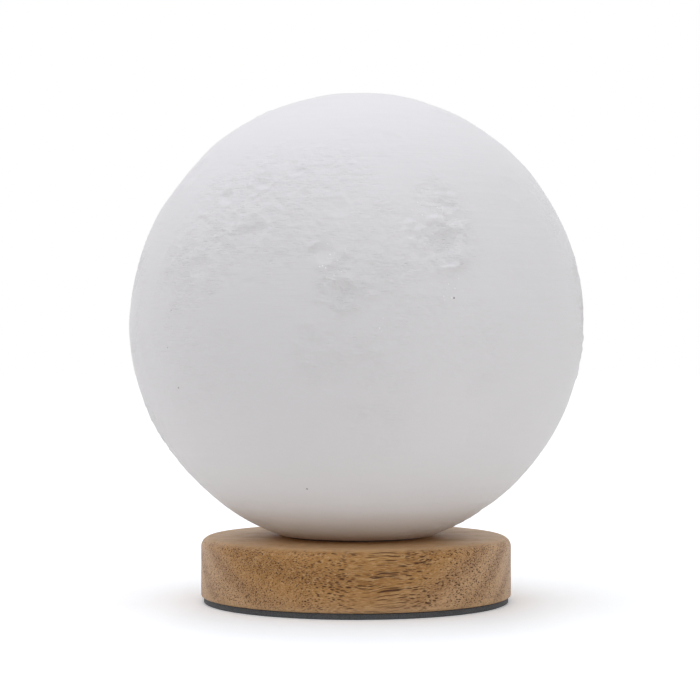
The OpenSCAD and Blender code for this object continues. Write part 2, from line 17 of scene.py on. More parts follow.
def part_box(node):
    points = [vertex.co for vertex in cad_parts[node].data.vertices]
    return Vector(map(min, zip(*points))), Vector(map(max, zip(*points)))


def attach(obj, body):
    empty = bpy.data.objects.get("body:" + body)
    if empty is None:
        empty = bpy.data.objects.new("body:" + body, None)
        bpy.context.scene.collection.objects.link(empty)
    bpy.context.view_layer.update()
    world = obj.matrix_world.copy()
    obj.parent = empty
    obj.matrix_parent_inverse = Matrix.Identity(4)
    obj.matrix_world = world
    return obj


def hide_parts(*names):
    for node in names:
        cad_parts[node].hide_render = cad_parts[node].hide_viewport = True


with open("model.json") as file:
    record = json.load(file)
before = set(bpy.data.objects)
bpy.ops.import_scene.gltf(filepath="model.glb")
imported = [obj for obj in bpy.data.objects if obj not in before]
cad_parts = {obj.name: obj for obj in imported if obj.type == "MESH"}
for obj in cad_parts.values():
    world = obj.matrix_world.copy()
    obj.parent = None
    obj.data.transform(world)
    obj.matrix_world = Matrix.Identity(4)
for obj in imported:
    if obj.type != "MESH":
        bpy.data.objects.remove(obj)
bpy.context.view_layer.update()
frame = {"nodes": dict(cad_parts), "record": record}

bl_info = {
    "name": "Moon lamp",
    "version": (1, 0, 0),
    "blender": (4, 5, 0),
    "location": "3D View > Sidebar > Moon lamp",
    "description": "Relief, finishes and studio for the packed moon lamp",
    "category": "Add Mesh",
}

MM = 0.001
SLOT_COLOURS = {m["slot"]: m["base_color"][:3] for m in frame["record"]["materials"]}
WHITE = (1.0, 1.0, 1.0)
UP = (0.0, 0.0, 1.0)
# Edges that fold by more degrees than this stay sharp.
CREASE = 40.0

# Craters that face the front, as in the part's source: turn to the right of the front
# and rise above the middle in degrees, radius in mm, share of full depth.
FRONT_CRATERS = (
    (21, 17, 6.9, 1.7), (-3, 5.4, 4.2, 1.9), (4, 3.5, 2.2, 1.4), (24.5, 27.5, 3.2, 1.4),
    (-8, 15, 4, 1.0), (-27, 20, 5.6, 1.1), (-38, 30, 3.4, 1.0), (-27, 34, 3.6, 1.0),
    (-18, 37, 3, 0.8), (-11, 32, 3, 0.8), (-5, 26, 3.4, 0.9), (-41, 12, 4.4, 1.1),
    (-53, 15, 3.6, 1.0), (-4, -13, 7.2, 0.5), (-12, -4, 4, 0.8), (2, -10, 2.2, 0.8),
    (5, -24.5, 3.8, 0.4), (29, -1, 3, 0.6), (41, 9, 3.6, 0.5), (-50, -17, 2.4, 0.8),
    (33, -28, 4.6, 0.5), (-26, -34, 5, 0.4), (12, 47, 4.2, 0.3), (50, 33, 5, 0.4),
)
# Scarps and furrows of the front: turn, rise, half length and half width in mm, slant
# in degrees, depth in mm. A negative depth is a lump.
SCARPS = (
    (-28, 20.4, 6.4, 1.1, 20, 0.5), (-36.5, 18.2, 1.6, 0.8, 10, 0.35),
    (-32.5, 16.2, 1.5, 0.8, -5, 0.3), (-29, 15.4, 1.2, 0.8, 0, 0.3),
    (-18.4, 14.6, 2.0, 0.8, 0, 0.35), (-9.6, 15.4, 3.2, 0.9, 5, 0.4),
    (-2.6, 13.6, 2.4, 0.8, -12, 0.35), (-27.5, 33.7, 2.6, 0.7, -4, 0.3),
    (-17, 36.6, 3.0, 0.7, 3, 0.25), (-38.7, 30.4, 2.0, 0.8, -8, 0.3),
    (-22.6, 25.2, 2.2, 0.7, -14, 0.3), (23.7, 30.8, 2.6, 0.7, -6, 0.35),
    (25.2, 27.0, 2.2, 0.8, -10, 0.35), (13.4, 19.4, 1.2, 1.0, 50, 0.45),
    (14.2, 15.6, 2.2, 0.8, -45, 0.3), (-8.4, 6.2, 1.8, 0.7, -25, 0.3),
    (-8.6, 2.6, 2.2, 0.7, -10, 0.3), (3.2, 5.0, 1.2, 0.9, 10, -0.4),
    (-3.0, 9.0, 2.6, 0.9, 4, -0.4), (20.2, 23.6, 2.8, 1.0, 0, -0.45),
    (21, 11.6, 4.2, 0.7, 2, -0.35), (13.2, 22.2, 1.4, 0.9, 30, -0.4),
    (-26, 8.2, 2.4, 0.8, 4, 0.25), (-32, 9.4, 1.6, 0.8, 0, 0.25),
    (-9.6, -5.4, 2.6, 0.9, 0, 0.3), (-4.8, -9.4, 1.4, 0.9, 0, 0.3),
    (-44, 24, 2.4, 0.8, 8, 0.3), (-47, 7, 2.6, 0.8, -6, 0.25),
)
# A scarp's lip, height over depth, then place and width in its half widths, and how many
# times wider than its upper side its lower side is.
SCARP_LIP = (0.35, 1.9, 0.8)
SCARP_FOOT = 2.2

# The rest of the globe takes its craters from a spiral that leaves the front free, as in
# the part's source: how many, the least and the greatest radius in mm, the lowest and the
# highest place as shares of the globe's radius, and how far each strays in degrees.
SPIRAL_CRATERS = 56
SPIRAL_RADII = (2.0, 6.5)
SPIRAL_HEIGHTS = (-0.8, 0.985)
SPIRAL_SWAY = 14.0
GOLDEN_ANGLE = 137.508
# The spiral ends where the cosine from the front is this, and its depths fade towards it.
FRONT_COS = 0.56
SPIRAL_DEPTH = 1.3

# Section of a crater, over its radius: its depth, where the bowl's floor ends and its wall
# ends, then height over depth, place and width of its rim and of its apron.
CRATER_DEPTH = 0.085
CRATER_BOWL = (0.25, 0.98)
CRATER_RIM = (0.42, 1.02, 0.2)
CRATER_APRON = (0.12, 1.3, 0.35)
# A crater ends within this many radii, a scarp this many half widths past its half length.
CRATER_REACH = 2.6
SCARP_REACH = 6.0
# Small craters: least radius and how much it may grow in mm, how rare the large ones are,
# their depth on smooth ground and what rough ground adds.
SMALL_RADII = (0.9, 1.9, 1.6)
SMALL_DEPTHS = (0.04, 0.8)

# The kind of all noise in the relief, as Blender's fractal noise takes it.
FRACTAL_INCREMENT = 0.9
LACUNARITY = 2.0
# Each noise: height in mm or share, size of its features in mm, octaves, offset.
BROAD_SWAY = (0.2, 24.0, 3, 41.2)
FAINT_GRAIN = (0.03, 2.4, 2, 71.5)
ROUGH_GRAIN = (0.36, 3.0, 5, 23.9)
ROUGH_CRACKS = (0.2, 7.0, 4, 57.1)
HIGHLANDS = (1.0, 46.0, 3, 3.7)
PATCH_EDGES = (0.7, 13.0, 4, 88.1)
CRATER_WARP = (0.3, 5.5, 3, 11.3)
CRATER_LUMPS = (1.3, 3.1, 3, 95.3)
SCARP_EDGES = (0.9, 3.6, 3, 19.4)
# Lumps change the height of a crater's rim by a factor between these.
LUMP_RANGE = (0.2, 1.7)
# How much flatter than wide the features of rough ground are.
LAYER_SQUASH = 2.1

# Where the globe's faces are smallest, turn and rise in degrees, and how many times
# smaller than their usual size.
FINE_FOCUS = (-6.0, 16.0)
FINE_SHARE = 1.4

# The globe's mouth: radii of its recess, its bore and the ring round it, then heights of
# the recess and the ring over the foot, in mm. The relief fades in over FOOT_FADE.
MOUTH_RADII = (23.25, 21.05, 28.0)
MOUTH_HEIGHTS = (1.2, 4.9)
MOUTH_STEPS = 96
INNER_STEPS = 40
FOOT_FADE = 3.5

# Rough ground on the front: turn, rise and reach in degrees, then strength. A patch dies
# out where the cap round its middle is PATCH_SPREAD times as high as at its reach.
PATCH_SPREAD = 1.2
ROUGH_PATCHES = (
    (-30, 27, 19, 0.6), (-42, 14, 17, 0.6), (-17, 22, 14, 0.55), (-12, 34, 16, 0.5),
    (21, 17, 11, 0.7), (24, 28, 8, 0.55), (-3, 7, 9, 0.8), (8, 12, 9, 0.6),
    (-8, -8, 10, 0.4), (14, 2, 12, 0.4), (5, 23, 10, 0.45), (5, -10, 13, 0.45),
    (6, -24, 12, 0.42), (-44, -10, 20, 0.32), (26, -7, 14, 0.38),
)
# Elsewhere the highlands are rough: where they begin and end in their noise, how rough
# they are, and the cosines from the front between which they die out.
HIGHLAND_NOISE = (-0.12, 0.4)
HIGHLAND_STRENGTH = 0.75
HIGHLAND_END = (0.2, 0.5)

# Broad hollows and swells that the globe's outline shows: turn, rise and reach in
# degrees, height in mm. Each is level over the first quarter of its reach.
SWELL_TOP = 0.25
SWELLS = (
    (-83, 25, 34, -0.85), (-82, 40, 13, -0.55), (-76, 64, 22, -0.45), (-82, -42, 18, -0.35),
    (71, 71, 20, 0.5), (81, 45, 13, 0.3),
)

# Dust baked into the front: turn and rise in degrees, radius in mm.
DUST = ((22.9, 4.5, 0.3), (-50.2, -16.6, 0.3), (-16.4, -44.2, 0.32), (-49.8, 2.0, 0.22))

# Patches of tiny painted glints on the front, white dots that stand in for points of light: turn
# and rise in degrees, radius in mm.
PAINTED_GLINTS = (
    (-5.6, 13.2, 7.0), (23.1, 6.1, 6.0), (-3.0, 1.0, 3.5), (6.4, -1.0, 4.0),
    (19.0, 27.0, 7.0),
)

# Marks of the printed plastic: cells to the mm, twice across and once upwards.
LAYER_LINES = (0.06, 0.06, 2.4)
PRINT_STREAKS = (0.05, 0.05, 0.55)
PRINT_GRAIN = (0.34, 0.34, 1.8)
PRINT_PITS = (0.38, 0.38, 1.2)
# Dust all over the globe and the painted glints of a patch, white dots that stand in for points of
# light: cells to the mm, where a dot ends within its cell, and how rare the cells with a dot are.
DUST_SCALE = 0.055
DUST_EDGE = (0.013, 0.02)
DUST_RARITY = 0.62
GLINT_SCALE = 1.1
GLINT_EDGE = (0.16, 0.3)
GLINT_RARITY = 0.8
# Height over the foot, in mm, in which the painted warm bounce of the wood gives way to the
# globe's painted glow.
PAINTED_BOUNCE_HEIGHT = 4.5

# The wood's grain: its turn in radians and its rise, then the way across its rings. Its
# upward share is 1, so places across the rings are heights at the axis, in mm.
GRAIN_TURN, GRAIN_RISE = 0.175, 0.05
RING_WAY = (-0.12, -0.82, 1.0)
# How far the grain sways, in mm: sideways, upwards and across the rings.
SWAY_SIDE, SWAY_UP, SWAY_RINGS = 5.0, 3.0, 7.0
# Features of the wood: length and width in mm, then a shift that sets them apart.
RING_WAVES = (60.0, 9.0, 0.0)
OPEN_PORES = (24.0, 0.56, 0.0)
FINE_PORES = (12.0, 0.44, 5.3)
FIBRES = (14.0, 0.5, 0.0)
FLECKS = (2.6, 0.36, 7.0)
PALE_STREAKS = (26.0, 0.9, 4.0)
WARM_DRIFT = (40.0, 9.0, 3.0)
# Heights at the axis where the warmer wood begins and where it is at its warmest.
WARM_WOOD = (41.0, 58.0)
# Heights in mm between which the wood grows paler towards its lower edge and how much, then the
# same for its top, painted paler for the light and sheen that it catches.
PALE_FOOT, FOOT_PALENESS = (2.2, 4.6), 0.5
PAINTED_LIGHT_TOP, TOP_PAINTED_LIGHT = (20.4, 21.4), 0.65

# Tint of the floor in the picture, and half its width in mm.
FLOOR_TINT = (0.975, 1.0, 1.0)
FLOOR_REACH = 6000.0


# ------------------------------------------------------------------- relief of the globe


def smooth(value, low, high):
    """0 at low, 1 at high and an S-curve between them, for numbers."""
    t = np.clip((value - low) / (high - low), 0.0, 1.0)
    return t * t * (3.0 - 2.0 * t)


def direction(turn, rise):
    """Unit vector turn degrees to the right of the front and rise degrees up."""
    t, r = math.radians(turn - 90.0), math.radians(rise)
    return np.array((math.cos(r) * math.cos(t), math.cos(r) * math.sin(t), math.sin(r)))


def placed(spots, radius, centre_z):
    """Middle and radius, in mm, of spots given by their turn, rise and radius."""
    middle = Vector((0.0, 0.0, centre_z))
    return [(middle + Vector(direction(t, r)) * radius, size) for t, r, size in spots]


def scatter(i, k):
    """A number from 0 to 1 that looks random but depends on i and k alone."""
    v = math.sin(math.radians(i * 127.1 + k * 311.7)) * 4375.8
    return v - math.floor(v)


def main_craters():
    """Direction, radius (mm) and depth share of each crater that the source has too."""
    for turn, rise, size, share in FRONT_CRATERS:
        yield direction(turn, rise), size, share
    low, high = SPIRAL_RADII
    for i in range(SPIRAL_CRATERS):
        turn = (i * GOLDEN_ANGLE + SPIRAL_SWAY * (scatter(i, 1) - 0.5)) % 360.0
        rise = math.degrees(math.asin(1.0 - 2.0 * (i + 0.5) / SPIRAL_CRATERS))
        way = direction(turn, rise)
        in_band = SPIRAL_HEIGHTS[0] < way[2] < SPIRAL_HEIGHTS[1]
        if in_band and -way[1] <= FRONT_COS:
            share = SPIRAL_DEPTH * min(1.0, 1.0 + way[1] / FRONT_COS)
            yield way, low + (high - low) * scatter(i, 2) ** 2, share


def small_craters(count, seed):
    """The same for the small craters, evenly spread over the globe."""
    least, growth, rarity = SMALL_RADII
    rng = np.random.default_rng(seed)
    for _ in range(count):
        way = rng.normal(size=3)
        yield way / np.linalg.norm(way), least + growth * rng.random() ** rarity, 1.0


def field(points, height, size, octaves, offset):
    """Fractal noise, about -height to height, with features of the given size in mm."""
    shift = Vector((offset, 2.0 * offset, -offset))
    kind = (FRACTAL_INCREMENT, LACUNARITY, octaves)
    values = (noise.fractal(Vector(p) / size + shift, *kind) for p in points)
    return height * np.fromiter(values, float, len(points))


def hump(value, height, place, width):
    """A bell curve of the given height round a place."""
    return height * np.exp(-(((value - place) / width) ** 2))


def rough_ground(ways, points):
    """How rough the ground is at each point, from 0 to 1."""
    highland = smooth(field(points, *HIGHLANDS), *HIGHLAND_NOISE)
    rough = HIGHLAND_STRENGTH * highland * (1.0 - smooth(-ways[:, 1], *HIGHLAND_END))
    ragged = 1.0 + field(points, *PATCH_EDGES)
    for turn, rise, reach, strength in ROUGH_PATCHES:
        edge = PATCH_SPREAD * (1.0 - math.cos(math.radians(reach)))
        near = (1.0 - ways @ direction(turn, rise)) * ragged
        rough = np.maximum(rough, strength * (1.0 - smooth(near, 0.0, edge)))
    return rough


def crater_height(distance, radius, lumps):
    """Height (mm) of a crater: a bowl with a soft floor, its rim and its apron."""
    t = distance / radius
    bowl = smooth(t, *CRATER_BOWL) - 1.0
    rim = lumps * hump(t, *CRATER_RIM)
    return CRATER_DEPTH * radius * (bowl + rim + hump(t, *CRATER_APRON))


def scarp_height(along, above, length, width, depth):
    """Height (mm) of a furrow with a steep upper wall and a low lip over it."""
    side = above / np.where(above > 0.0, width, SCARP_FOOT * width)
    lip = hump(above / width, *SCARP_LIP)
    return depth * np.exp(-((along / length) ** 4)) * (lip - np.exp(-(side**2)))


def press_craters(height, craters, weight, ways, radius, warp, lumps):
    """Adds craters to the heights, weighted by the ground that each point is on."""
    for way, size, share in craters:
        near = np.flatnonzero(ways @ way > math.cos(CRATER_REACH * size / radius))
        chord = radius * np.sqrt(np.maximum(0.0, 2.0 - 2.0 * (ways[near] @ way)))
        shape = crater_height(chord * warp[near], size, lumps[near])
        height[near] += share * weight[near] * shape


def press_scarps(height, ways, points, radius):
    """Adds the scarps and furrows of the front to the heights."""
    ragged = field(points, *SCARP_EDGES)
    for turn, rise, length, width, slant, depth in SCARPS:
        way, tilt = direction(turn, rise), math.radians(slant)
        east = np.cross(UP, way)
        east /= np.linalg.norm(east)
        line = math.cos(tilt) * east + math.sin(tilt) * np.cross(way, east)
        reach = (length + SCARP_REACH * width) / radius
        near = np.flatnonzero(ways @ way > math.cos(reach))
        along, above = points[near] @ line, points[near] @ np.cross(way, line)
        height[near] += scarp_height(along, above + ragged[near], length, width, depth)


def relief(ways, radius, settings):
    """Height (mm) over a sphere of the radius, and the rough mask, at unit directions."""
    points = ways * radius
    rough = rough_ground(ways, points)
    height = field(points, *BROAD_SWAY) + field(points, *FAINT_GRAIN)
    layered = points * (1.0, 1.0, LAYER_SQUASH)
    height += rough * field(layered, *ROUGH_GRAIN)
    height -= rough * np.abs(field(layered, *ROUGH_CRACKS))
    for turn, rise, reach, swell in SWELLS:
        angle = np.degrees(np.arccos(np.clip(ways @ direction(turn, rise), -1.0, 1.0)))
        height += swell * (1.0 - smooth(angle, SWELL_TOP * reach, reach))
    warp = 1.0 + field(points, *CRATER_WARP)
    lumps = np.clip(1.0 + field(points, *CRATER_LUMPS), *LUMP_RANGE)
    shallow, extra = SMALL_DEPTHS
    small = small_craters(settings.small_craters, settings.seed)
    press_craters(height, main_craters(), np.ones_like(rough), ways, radius, warp, lumps)
    press_craters(height, small, shallow + extra * rough, ways, radius, warp, lumps)
    press_scarps(height, ways, points, radius)
    return height * settings.relief, rough


def globe_outside(mesh, settings, radius, centre_z, foot_z):
    """Adds the relief's skin to the bmesh, cut flat at the foot.

    The faces are drawn together towards the front, where the relief is finest.
    """
    bmesh.ops.create_icosphere(mesh, subdivisions=1, radius=1.0)
    bmesh.ops.subdivide_edges(
        mesh, edges=mesh.edges, cuts=settings.fineness - 1, use_grid_fill=True
    )
    focus = Vector(direction(*FINE_FOCUS))
    for vertex in mesh.verts:
        vertex.co.normalize()
        ahead = vertex.co.dot(focus)
        near, far = (1.0 + ahead) * FINE_SHARE**2, 1.0 - ahead
        shift = (near - far) / (near + far)
        aside = (vertex.co - focus * ahead).normalized() * math.sqrt(1.0 - shift**2)
        vertex.co = (focus * shift + aside) * radius + Vector((0.0, 0.0, centre_z))
    bmesh.ops.bisect_plane(
        mesh,
        geom=[*mesh.verts, *mesh.edges, *mesh.faces],
        plane_co=(0.0, 0.0, foot_z),
        plane_no=UP,
        clear_inner=True,
    )
    places = np.array([vertex.co[:] for vertex in mesh.verts])
    ways = places - (0.0, 0.0, centre_z)
    ways /= np.linalg.norm(ways, axis=1)[:, None]
    height, rough = relief(ways, radius, settings)
    height = np.maximum(height, (settings.least_wall - settings.wall) / MM)
    height *= smooth(places[:, 2], foot_z, foot_z + FOOT_FADE)
    places += ways * height[:, None]
    mark = mesh.verts.layers.float.new("rough")
    for vertex, place, value in zip(mesh.verts, places, rough):
        vertex.co = place
        vertex[mark] = value


def globe_inside(mesh, settings, radius, centre_z, foot_z):
    """Adds the inner skin with the mouth's recess and bore, turned from one profile."""
    inner = radius - settings.wall / MM
    recess_r, bore_r, ring_r = MOUTH_RADII
    recess_z, ring_z = (foot_z + height for height in MOUTH_HEIGHTS)
    low = math.acos(ring_r / inner)
    sweep = low + math.pi / 2
    arc = [-low + sweep * i / INNER_STEPS for i in range(INNER_STEPS + 1)]
    profile = [(recess_r, foot_z), (recess_r, recess_z), (bore_r, recess_z)]
    profile += [(bore_r, ring_z), (ring_r, ring_z)]
    profile += [(inner * math.cos(a), centre_z + inner * math.sin(a)) for a in arc]
    points = [mesh.verts.new((r, 0.0, z)) for r, z in profile]
    edges = [mesh.edges.new(pair) for pair in zip(points, points[1:])]
    bmesh.ops.spin(
        mesh,
        geom=[*points, *edges],
        axis=UP,
        cent=(0.0, 0.0, 0.0),
        steps=MOUTH_STEPS,
        angle=2 * math.pi,
        use_merge=True,
    )
    bmesh.ops.remove_doubles(mesh, verts=mesh.verts, dist=1e-4)


def close_foot(mesh):
    """Closes the flat foot between the outer skin and the mouth."""
    rims = [edge for edge in mesh.edges if len(edge.link_faces) == 1]
    bmesh.ops.triangle_fill(mesh, edges=rims, use_beauty=True, normal=(0.0, 0.0, -1.0))
    bmesh.ops.recalc_face_normals(mesh, faces=mesh.faces)


def finished_mesh(name, mesh):
    """Scales the bmesh to metres and makes an object of it, smooth but for creases."""
    bmesh.ops.scale(mesh, vec=(MM, MM, MM), verts=mesh.verts)
    for face in mesh.faces:
        face.smooth = True
    for edge in mesh.edges:
        if len(edge.link_faces) == 2:
            edge.smooth = edge.calc_face_angle() < math.radians(CREASE)
    data = bpy.data.meshes.new(name)
    mesh.to_mesh(data)
    mesh.free()
    piece = bpy.data.objects.new(name, data)
    bpy.context.scene.collection.objects.link(piece)
    return piece


# ------------------------------------------------------------------- finishes


class Value:
    """A socket in a finish. Expressions on values add the nodes that work them out."""

    def __init__(self, nodes, socket):
        self.nodes = nodes
        self.socket = socket

    def __add__(self, other):
        return self.nodes.maths("ADD", self, other)

    def __sub__(self, other):
        return self.nodes.maths("SUBTRACT", self, other)

    def __rsub__(self, other):
        return self.nodes.maths("SUBTRACT", other, self)

    def __mul__(self, other):
        return self.nodes.maths("MULTIPLY", self, other)

    def __truediv__(self, other):
        return self.nodes.maths("DIVIDE", self, other)

    def __lt__(self, other):
        return self.nodes.maths("LESS_THAN", self, other)

    def __gt__(self, other):
        return self.nodes.maths("GREATER_THAN", self, other)

    __radd__ = __add__
    __rmul__ = __mul__

    def at_least(self, low):
        return self.nodes.maths("MAXIMUM", self, low)

    def cosine(self):
        return self.nodes.maths("COSINE", self)

    def fraction(self):
        return self.nodes.maths("FRACT", self)

    def smooth(self, low, high):
        """0 at low, 1 at high and an S-curve between them."""
        inputs = {"Value": self, "From Min": low, "From Max": high}
        settings = {"interpolation_type": "SMOOTHSTEP"}
        return self.nodes.add("ShaderNodeMapRange", settings, inputs)

    def vector(self, operation, other, output="Vector"):
        settings = {"operation": operation}
        return self.nodes.add("ShaderNodeVectorMath", settings, {0: self, 1: other}, output)

    def dot(self, axis):
        return self.vector("DOT_PRODUCT", axis, "Value")

    def distance(self, place):
        return self.vector("DISTANCE", place, "Value")

    def stretched(self, factors):
        return self.vector("MULTIPLY", factors)

    def moved(self, offset):
        return self.vector("ADD", offset)


class Nodes:
    """The nodes of a material or world, with the place of each point in mm."""

    def __init__(self, owner):
        owner.use_nodes = True
        self.owner = owner
        self.tree = owner.node_tree
        self.tree.nodes.clear()

    def add(self, kind, settings=None, inputs=None, output=0):
        """Adds a node: its settings first, then the values or links of its sockets."""
        node = self.tree.nodes.new(kind)
        for name, value in (settings or {}).items():
            setattr(node, name, value)
        for name, value in (inputs or {}).items():
            socket = node.inputs[name]
            if isinstance(value, Value):
                self.tree.links.new(value.socket, socket)
            elif socket.type == "RGBA" and len(value) == 3:
                socket.default_value = (*value, 1.0)
            else:
                socket.default_value = value
        return Value(self, node.outputs[output]) if node.outputs else None

    def place(self):
        made = self.add("ShaderNodeTexCoord", output="Object")
        return made.stretched((1.0 / MM,) * 3)

    def maths(self, operation, *values):
        settings = {"operation": operation}
        return self.add("ShaderNodeMath", settings, dict(enumerate(values)))

    def noise(self, vector, scale=1.0, detail=3.0, roughness=0.5, output=0):
        inputs = {"Vector": vector, "Scale": scale, "Detail": detail, "Roughness": roughness}
        return self.add("ShaderNodeTexNoise", None, inputs, output)

    def cells(self, vector, scale=1.0, output="Distance", distance="EUCLIDEAN"):
        inputs = {"Vector": vector, "Scale": scale}
        return self.add("ShaderNodeTexVoronoi", {"distance": distance}, inputs, output)

    def mix(self, factor, first, second):
        inputs = {0: factor, 6: first, 7: second}
        return self.add("ShaderNodeMix", {"data_type": "RGBA"}, inputs, 2)

    def surface(self, inputs, height, depth):
        """Ends a material. The height, 0 to 1, is a bump of the given depth in mm."""
        bump = self.add("ShaderNodeBump", None, {"Height": height, "Distance": depth * MM})
        shader = self.add("ShaderNodeBsdfPrincipled", None, {**inputs, "Normal": bump})
        self.add("ShaderNodeOutputMaterial", None, {"Surface": shader})
        return self.owner


def new_nodes(name):
    return Nodes(bpy.data.materials.new(name))


def darker(colour, share):
    return tuple(c * share for c in colour)


def towards(colour, other, share):
    return tuple(a + (b - a) * share for a, b in zip(colour, other))


def dust_and_painted_glints(n, place, settings, colour, dust, painted_glints):
    """Lays dust all over, the dust of the front and patches of painted glints on a colour."""
    chosen = n.cells(place, DUST_SCALE, "Color").dot((1.0, 0.0, 0.0)) > DUST_RARITY
    specks = (1.0 - n.cells(place, DUST_SCALE).smooth(*DUST_EDGE)) * chosen
    for spot, size in dust:
        specks = specks + (place.distance(spot) < size)
    colour = n.mix(specks * 0.75, colour, settings.speck)
    # Painted glints: white dots in the colour that stand in for tiny points of light.
    chosen = n.cells(place, GLINT_SCALE, "Color").dot((0.0, 1.0, 0.0)) > GLINT_RARITY
    painted_glint = (1.0 - n.cells(place, GLINT_SCALE).smooth(*GLINT_EDGE)) * chosen
    for spot, size in painted_glints:
        near = 1.0 - place.distance(spot).smooth(0.5 * size, size)
        colour = n.mix(painted_glint * near, colour, settings.painted_glint)
    return colour


def printed_plastic(settings, dust, painted_glints, foot_z):
    """White printed plastic: layer lines, tiny pits on rough ground, dust and painted glints.

    Its faint painted glow stands in for daylight through the shell, and towards the foot, where
    the shell is thick, it turns to a painted warm bounce of the wood's light.
    """
    n = new_nodes("printed_white_plastic")
    place = n.place()
    rough = n.add("ShaderNodeAttribute", {"attribute_name": "rough"}, output="Fac")
    layers = n.noise(place.stretched(LAYER_LINES), 1.0, 3.0, 0.6)
    streaks = n.noise(place.stretched(PRINT_STREAKS), 1.0, 4.0, 0.62)
    grain = n.noise(place.stretched(PRINT_GRAIN), 1.0, 4.0, 0.62)
    pits = n.cells(place.stretched(PRINT_PITS)).smooth(0.08, 0.4)
    clumps = n.noise(place, 0.16, 3.0, 0.6).smooth(0.3, 0.7) + 0.35
    marks = rough * clumps * (grain * 1.3 + pits * 0.35)
    height = layers * 0.12 + streaks * 0.34 + marks
    tint = n.noise(place, 0.05, 2.0) * 0.5 + streaks * 0.5
    colour = n.mix(tint, settings.colour, darker(settings.colour, settings.tint))
    # Painted shade: the front middle is painted greyer, standing in for the lesser light on the
    # side that faces the camera.
    plain = place.distance(settings.painted_front_shade_place).smooth(*settings.painted_front_shade_reach)
    colour = n.mix(1.0 - plain, colour, darker(settings.colour, settings.painted_front_shade))
    colour = dust_and_painted_glints(n, place, settings, colour, dust, painted_glints)
    # Painted warm bounce of the wood's light near the foot, giving way above it to the painted
    # glow.
    thin = place.dot(UP).smooth(foot_z, foot_z + PAINTED_BOUNCE_HEIGHT)
    inputs = {
        "Base Color": colour,
        "Roughness": settings.roughness + 0.1 * grain,
        "Sheen Weight": 0.18,
        "Emission Color": n.mix(thin, settings.painted_wood_bounce, settings.painted_glow_colour),
        "Emission Strength": settings.painted_glow,
    }
    return n.surface(inputs, height, depth=0.45)


def oiled_wood(settings):
    """Oiled hardwood: growth rings, fibres and open pores that run along the grain."""
    n = new_nodes("oiled_wood")
    place = n.place()
    along = Vector((math.cos(GRAIN_TURN), math.sin(GRAIN_TURN), GRAIN_RISE)).normalized()
    ring = Vector(RING_WAY)
    across = ring.cross(along).normalized()
    upright = along.cross(across).normalized()
    sway = n.noise(place, 0.045, 2.0) - 0.5
    run = place.dot(along)
    wide = place.dot(across) + sway * SWAY_SIDE
    high = place.dot(upright) + sway * SWAY_UP

    def grain(length, width, shift):
        """Places along the grain, for features of the given length and width in mm."""
        inputs = {0: run / length + shift, 1: wide / width, 2: high / width}
        return n.add("ShaderNodeCombineXYZ", None, inputs)

    depth = place.dot(ring) + sway * SWAY_RINGS
    depth = depth + n.noise(grain(*RING_WAVES), 1.0, 2.0) * 2.5
    turn = (depth - settings.ring_start) * (2.0 * math.pi / settings.ring_spacing)
    dense = (turn.cosine() * 0.5 + 0.5).smooth(0.1, 1.0)

    def pores(feature, share):
        """Dark strokes along the grain, more of them in the dense wood."""
        cell = grain(*feature)
        pick = n.cells(cell, output="Color")
        shown = pick.dot((1.0, 0.0, 0.0)) < share + dense * 0.4
        reach = 0.33 * (0.65 + 0.7 * pick.dot((0.0, 1.0, 0.0)))
        return (1.0 - (n.cells(cell) / reach).smooth(0.6, 1.15)) * shown

    open_pores = pores(OPEN_PORES, settings.pore_share)
    fine_pores = pores(FINE_PORES, settings.pore_share + 0.15)
    fibre = n.noise(grain(*FIBRES), 1.0, 4.0, 0.65)
    fleck = n.noise(grain(*FLECKS), 1.0, 3.0, 0.65)
    streak = n.noise(grain(*PALE_STREAKS), 1.0, 3.0, 0.6)
    drift = depth + 8.0 * n.noise(grain(*WARM_DRIFT))
    level = place.dot(UP)
    # The wood grows paler towards its lower edge, and its top is painted paler for the light and
    # sheen it catches.
    pale_foot_and_painted_top = (1.0 - level.smooth(*PALE_FOOT)) * FOOT_PALENESS
    pale_foot_and_painted_top = pale_foot_and_painted_top + level.smooth(*PAINTED_LIGHT_TOP) * TOP_PAINTED_LIGHT
    colour = n.mix(drift.smooth(*WARM_WOOD), settings.light_colour, settings.warm_colour)
    tints = (
        (dense * 0.3, settings.ring_colour),
        (fibre.smooth(0.45, 0.72) * 0.55, settings.ring_colour),
        (streak.smooth(0.5, 0.68) * 0.45, settings.fleck_colour),
        (fleck.smooth(0.5, 0.7) * 0.65, settings.fleck_colour),
        (fleck.smooth(0.5, 0.3) * 0.65, settings.ring_colour),
        (fine_pores * 0.8, settings.pore_colour),
        (open_pores * 0.95, settings.pore_colour),
        (pale_foot_and_painted_top, settings.pale_foot_painted_top_colour),
    )
    for share, tint in tints:
        colour = n.mix(share, colour, tint)
    inputs = {
        "Base Color": colour,
        "Roughness": 0.38 + 0.14 * fibre + 0.3 * open_pores,
        "Specular IOR Level": 0.3,
    }
    height = 1.0 - open_pores * 0.8 - fine_pores * 0.3 - fibre * 0.15
    return n.surface(inputs, height, depth=0.12)


def foam_rubber(colour):
    """Charcoal foam rubber: closed cells and a faint dusting."""
    n = new_nodes("foam_rubber")
    place = n.place()
    cell = n.cells(place, 2.2)
    cloud = n.noise(place, 0.25, 3.0)
    tone = (cell.smooth(0.1, 0.6) * 0.5 + cloud * 0.5).smooth(0.25, 0.8)
    shade = n.mix(tone, darker(colour, 0.75), towards(colour, WHITE, 0.025))
    gloss = 0.72 + 0.15 * cloud
    return n.surface({"Base Color": shade, "Roughness": gloss}, cell, depth=0.05)


